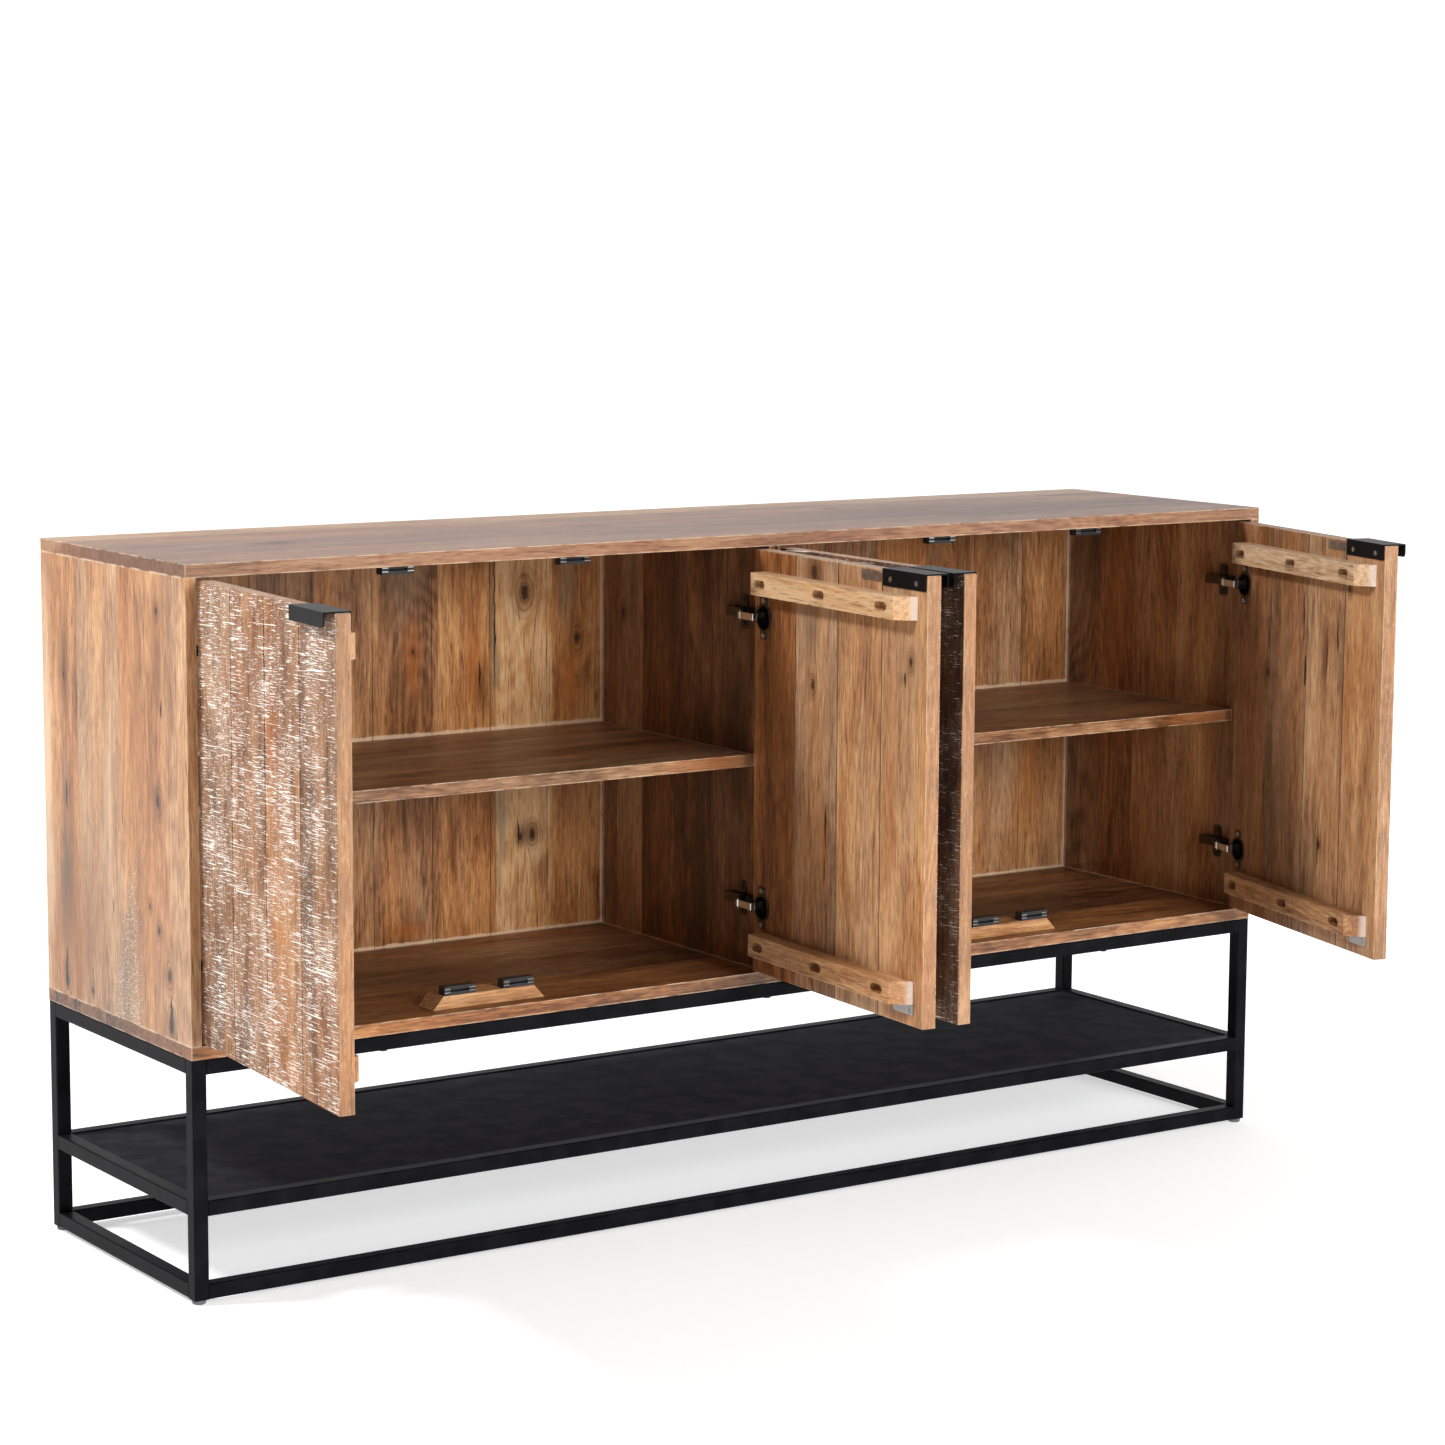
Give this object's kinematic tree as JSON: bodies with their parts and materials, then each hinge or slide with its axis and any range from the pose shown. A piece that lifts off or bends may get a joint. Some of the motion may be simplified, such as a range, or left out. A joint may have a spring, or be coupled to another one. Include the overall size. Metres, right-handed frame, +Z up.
{
  "type": "sideboard buffet",
  "caption": "Wide two-bay wooden cabinet with inset plank doors, shelves and folded metal handles on an open square-tube base with a sheet-metal shelf.",
  "frame": {"origin": "on the floor, under the middle of the carcass", "axes": "+X to the right along the front, +Y from the front to the back, +Z up"},
  "size_m": [1.7828, 0.8534, 0.932],
  "materials": {
    "carcass_wood": "satin oil",
    "inner_wood": "satin oil",
    "door_wood": "rough sawn outside, whitewashed; planed and oiled inside",
    "batten_wood": "satin oil",
    "frame_black": "fine matt powder coat",
    "shelf_black": "fine matt powder coat",
    "handle_black": "satin powder coat",
    "hinge_plate_black": "dark plating",
    "hinge_steel": "nickel plated",
    "strike_steel": "zinc plated",
    "screw_steel": "zinc plated",
    "catch_plastic": "matt",
    "foot_plastic": "matt"
  },
  "bodies": {
    "carcass": {"top_board": "carcass_wood", "bottom_board": "carcass_wood", "left_side": "carcass_wood", "right_side": "carcass_wood", "centre_divider": "inner_wood", "back_planks": "inner_wood", "left_shelf": "inner_wood", "right_shelf": "inner_wood", "dowels": "inner_wood", "catch_blocks": "carcass_wood", "upper_catches": "catch_plastic", "lower_catches": "catch_plastic", "hinge_plates": "hinge_plate_black", "hinge_arms": "hinge_steel", "hinge_pins": "hinge_steel", "carcass_screws": "hinge_steel", "legs": "frame_black", "top_front_rail": "frame_black", "top_back_rail": "frame_black", "top_end_rails": "frame_black", "middle_front_rail": "frame_black", "middle_back_rail": "frame_black", "middle_end_rails": "frame_black", "bottom_front_rail": "frame_black", "bottom_back_rail": "frame_black", "bottom_end_rails": "frame_black", "sheet_shelf": "shelf_black", "shelf_tabs": "frame_black", "feet": "foot_plastic"},
    "door_1": {"door_1_planks": "door_wood", "door_1_battens": "batten_wood", "door_1_handle": "handle_black", "door_1_strikes": "strike_steel", "door_1_hinge_cups": "hinge_steel", "door_1_screws": "screw_steel"},
    "door_1_links": {"door_1_hinge_links": "hinge_steel"},
    "door_2": {"door_2_planks": "door_wood", "door_2_battens": "batten_wood", "door_2_handle": "handle_black", "door_2_strikes": "strike_steel", "door_2_hinge_cups": "hinge_steel", "door_2_screws": "screw_steel"},
    "door_2_links": {"door_2_hinge_links": "hinge_steel"},
    "door_3": {"door_3_planks": "door_wood", "door_3_battens": "batten_wood", "door_3_handle": "handle_black", "door_3_strikes": "strike_steel", "door_3_hinge_cups": "hinge_steel", "door_3_screws": "screw_steel"},
    "door_3_links": {"door_3_hinge_links": "hinge_steel"},
    "door_4": {"door_4_planks": "door_wood", "door_4_battens": "batten_wood", "door_4_handle": "handle_black", "door_4_strikes": "strike_steel", "door_4_hinge_cups": "hinge_steel", "door_4_screws": "screw_steel"},
    "door_4_links": {"door_4_hinge_links": "hinge_steel"}
  },
  "joints": [
    {"name": "door_1_hinge", "type": "hinge", "parent": "carcass", "child": "door_1", "pos_m": [-0.859, -0.215, 0.623], "axis": [0, 0, 1], "range_deg": [0, 94.9]},
    {"name": "door_1_link_swing", "type": "hinge", "parent": "carcass", "child": "door_1_links", "pos_m": [-0.832, -0.188, 0.623], "axis": [0, 0, 1], "range_deg": [0, 94.9]},
    {"name": "door_2_hinge", "type": "hinge", "parent": "carcass", "child": "door_2", "pos_m": [-0.01, -0.215, 0.623], "axis": [0, 0, -1], "range_deg": [0, 86]},
    {"name": "door_2_link_swing", "type": "hinge", "parent": "carcass", "child": "door_2_links", "pos_m": [-0.037, -0.188, 0.623], "axis": [0, 0, -1], "range_deg": [0, 86]},
    {"name": "door_3_hinge", "type": "hinge", "parent": "carcass", "child": "door_3", "pos_m": [0.01, -0.215, 0.623], "axis": [0, 0, 1], "range_deg": [0, 92]},
    {"name": "door_3_link_swing", "type": "hinge", "parent": "carcass", "child": "door_3_links", "pos_m": [0.037, -0.188, 0.623], "axis": [0, 0, 1], "range_deg": [0, 92]},
    {"name": "door_4_hinge", "type": "hinge", "parent": "carcass", "child": "door_4", "pos_m": [0.859, -0.215, 0.623], "axis": [0, 0, -1], "range_deg": [-18.7, 76.2]},
    {"name": "door_4_link_swing", "type": "hinge", "parent": "carcass", "child": "door_4_links", "pos_m": [0.832, -0.188, 0.623], "axis": [0, 0, -1], "range_deg": [-18.7, 76.2]}
  ],
  "couplings": [
    {"joint": "door_1_link_swing", "follows": "door_1_hinge", "ratio": 1},
    {"joint": "door_2_link_swing", "follows": "door_2_hinge", "ratio": 1},
    {"joint": "door_3_link_swing", "follows": "door_3_hinge", "ratio": 1},
    {"joint": "door_4_link_swing", "follows": "door_4_hinge", "ratio": 1}
  ]
}
